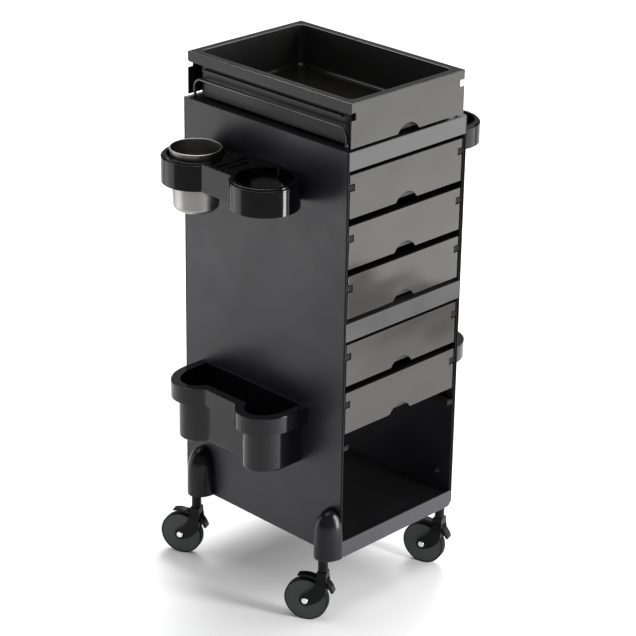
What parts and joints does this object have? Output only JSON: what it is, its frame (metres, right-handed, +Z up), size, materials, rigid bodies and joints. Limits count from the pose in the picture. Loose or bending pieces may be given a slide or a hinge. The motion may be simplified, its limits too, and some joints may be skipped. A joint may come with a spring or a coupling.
{
  "type": "salon trolley cart",
  "caption": "Tall rolling salon cart with slide-out drawers, lift-off top tray, side tool holders with a steel cup, side baskets and braked swivel casters.",
  "frame": {"origin": "on the floor, under the middle of the whole cart's bounding box", "axes": "+Z up; the front, with the drawers' end plates, faces -Y; +X to the cart's right seen from behind the front, so the cup is on the -X side"},
  "size_m": [0.4952, 0.4311, 0.895],
  "materials": {
    "panel_paint": "satin charcoal powder coat",
    "bar_paint": "glossy warm-grey coated steel",
    "strip_paint": "semi-gloss charcoal coated steel",
    "shelf_paint": "satin black coated steel",
    "hoop_coat": "gloss black coated rod",
    "runner_plastic": "satin dark moulding",
    "tray_plastic": "glossy dark grey moulding",
    "pad_rubber": "matt black pads",
    "holder_plastic": "deep gloss black moulding",
    "cup_steel": "satin brushed steel with a bright rolled rim",
    "basket_plastic": "glossy charcoal moulding",
    "leg_plastic": "glossy charcoal moulding",
    "bush_plastic": "plain dark bushes",
    "screw_steel": "zinc-plated pan heads",
    "fork_plastic": "near-black moulding",
    "disc_plastic": "flat dark grey wheel disc",
    "tyre_rubber": "thin black tread",
    "axle_metal": "bright capped axle",
    "brake_plastic": "near-black moulding"
  },
  "bodies": {
    "chassis": {"side_panel_left": "panel_paint", "side_panel_right": "panel_paint", "top_shelf": "shelf_paint", "base_shelf": "shelf_paint", "top_crossbar_front": "bar_paint", "top_crossbar_rear": "bar_paint", "middle_crossbar_front": "bar_paint", "middle_crossbar_rear": "bar_paint", "base_strip_front": "strip_paint", "base_strip_rear": "strip_paint", "hoop_left": "hoop_coat", "hoop_right": "hoop_coat", "runners_1": "runner_plastic", "runners_2": "runner_plastic", "runners_3": "runner_plastic", "runners_4": "runner_plastic", "runners_5": "runner_plastic", "runners_6": "runner_plastic", "leg_screws": "screw_steel", "basket_screws": "screw_steel", "holder_screws": "screw_steel", "crossbar_screws": "screw_steel", "runner_screws": "screw_steel", "tool_holder_left": "holder_plastic", "tool_holder_right": "holder_plastic", "basket_left": "basket_plastic", "basket_right": "basket_plastic", "leg_socket_front_left": "leg_plastic", "leg_socket_rear_left": "leg_plastic", "caster_block_rear_right": "leg_plastic", "caster_block_front_right": "leg_plastic", "stem_bushes": "bush_plastic"},
    "drawer_1": {"drawer_1": "tray_plastic"},
    "drawer_2": {"drawer_2": "tray_plastic"},
    "drawer_3": {"drawer_3": "tray_plastic"},
    "drawer_4": {"drawer_4": "tray_plastic"},
    "drawer_5": {"drawer_5": "tray_plastic"},
    "top_tray": {"top_tray": "tray_plastic", "tray_pads": "pad_rubber"},
    "tool_cup": {"tool_cup": "cup_steel"},
    "swivel_front_left": {"caster_fork_front_left": "fork_plastic", "axle_front_left": "axle_metal"},
    "wheel_front_left": {"wheel_disc_front_left": "disc_plastic", "tyre_front_left": "tyre_rubber"},
    "brake_front_left": {"brake_lever_front_left": "brake_plastic"},
    "swivel_rear_left": {"caster_fork_rear_left": "fork_plastic", "axle_rear_left": "axle_metal"},
    "wheel_rear_left": {"wheel_disc_rear_left": "disc_plastic", "tyre_rear_left": "tyre_rubber"},
    "brake_rear_left": {"brake_lever_rear_left": "brake_plastic"},
    "swivel_rear_right": {"caster_fork_rear_right": "fork_plastic", "axle_rear_right": "axle_metal"},
    "wheel_rear_right": {"wheel_disc_rear_right": "disc_plastic", "tyre_rear_right": "tyre_rubber"},
    "brake_rear_right": {"brake_lever_rear_right": "brake_plastic"},
    "swivel_front_right": {"caster_fork_front_right": "fork_plastic", "axle_front_right": "axle_metal"},
    "wheel_front_right": {"wheel_disc_front_right": "disc_plastic", "tyre_front_right": "tyre_rubber"},
    "brake_front_right": {"brake_lever_front_right": "brake_plastic"}
  },
  "joints": [
    {"name": "drawer_1_slide", "type": "slide", "parent": "chassis", "child": "drawer_1", "axis": [0, -1, 0], "range_m": [-0.24, 0.24]},
    {"name": "drawer_2_slide", "type": "slide", "parent": "chassis", "child": "drawer_2", "axis": [0, -1, 0], "range_m": [-0.24, 0.24]},
    {"name": "drawer_3_slide", "type": "slide", "parent": "chassis", "child": "drawer_3", "axis": [0, -1, 0], "range_m": [-0.24, 0.24]},
    {"name": "drawer_4_slide", "type": "slide", "parent": "chassis", "child": "drawer_4", "axis": [0, -1, 0], "range_m": [-0.24, 0.24]},
    {"name": "drawer_5_slide", "type": "slide", "parent": "chassis", "child": "drawer_5", "axis": [0, -1, 0], "range_m": [-0.24, 0.24]},
    {"name": "top_tray_lift", "type": "slide", "parent": "chassis", "child": "top_tray", "axis": [0, 0, 1], "range_m": [0, 0.12]},
    {"name": "tool_cup_lift", "type": "slide", "parent": "chassis", "child": "tool_cup", "axis": [0, 0, 1], "range_m": [0, 0.12]},
    {"name": "swivel_front_left_turn", "type": "hinge", "parent": "chassis", "child": "swivel_front_left", "pos_m": [-0.1546, -0.1874, 0.1], "axis": [0, 0, 1], "continuous": true},
    {"name": "wheel_front_left_roll", "type": "hinge", "parent": "swivel_front_left", "child": "wheel_front_left", "pos_m": [-0.16703, -0.16343, 0.0375], "axis": [0.8878, 0.4602, 0], "continuous": true},
    {"name": "brake_front_left_press", "type": "hinge", "parent": "swivel_front_left", "child": "brake_front_left", "pos_m": [-0.1546, -0.1874, 0.075], "axis": [-0.8878, -0.4602, 0], "range_deg": [0, 7]},
    {"name": "swivel_rear_left_turn", "type": "hinge", "parent": "chassis", "child": "swivel_rear_left", "pos_m": [-0.1546, 0.1206, 0.1], "axis": [0, 0, 1], "continuous": true},
    {"name": "wheel_rear_left_roll", "type": "hinge", "parent": "swivel_rear_left", "child": "wheel_rear_left", "pos_m": [-0.16562, 0.14525, 0.0375], "axis": [0.9128, 0.4083, 0], "continuous": true},
    {"name": "brake_rear_left_press", "type": "hinge", "parent": "swivel_rear_left", "child": "brake_rear_left", "pos_m": [-0.1546, 0.1206, 0.075], "axis": [-0.9128, -0.4083, 0], "range_deg": [0, 7]},
    {"name": "swivel_rear_right_turn", "type": "hinge", "parent": "chassis", "child": "swivel_rear_right", "pos_m": [0.122, 0.1522, 0.1], "axis": [0, 0, 1], "continuous": true},
    {"name": "wheel_rear_right_roll", "type": "hinge", "parent": "swivel_rear_right", "child": "wheel_rear_right", "pos_m": [0.11366, 0.17788, 0.0375], "axis": [0.9511, 0.309, 0], "continuous": true},
    {"name": "brake_rear_right_press", "type": "hinge", "parent": "swivel_rear_right", "child": "brake_rear_right", "pos_m": [0.122, 0.1522, 0.075], "axis": [-0.9511, -0.309, 0], "range_deg": [0, 7]},
    {"name": "swivel_front_right_turn", "type": "hinge", "parent": "chassis", "child": "swivel_front_right", "pos_m": [0.122, -0.1942, 0.1], "axis": [0, 0, 1], "continuous": true},
    {"name": "wheel_front_right_roll", "type": "hinge", "parent": "swivel_front_right", "child": "wheel_front_right", "pos_m": [0.11433, -0.16831, 0.0375], "axis": [0.9588, 0.284, 0], "continuous": true},
    {"name": "brake_front_right_press", "type": "hinge", "parent": "swivel_front_right", "child": "brake_front_right", "pos_m": [0.122, -0.1942, 0.075], "axis": [-0.9588, -0.284, 0], "range_deg": [0, 7]}
  ]
}
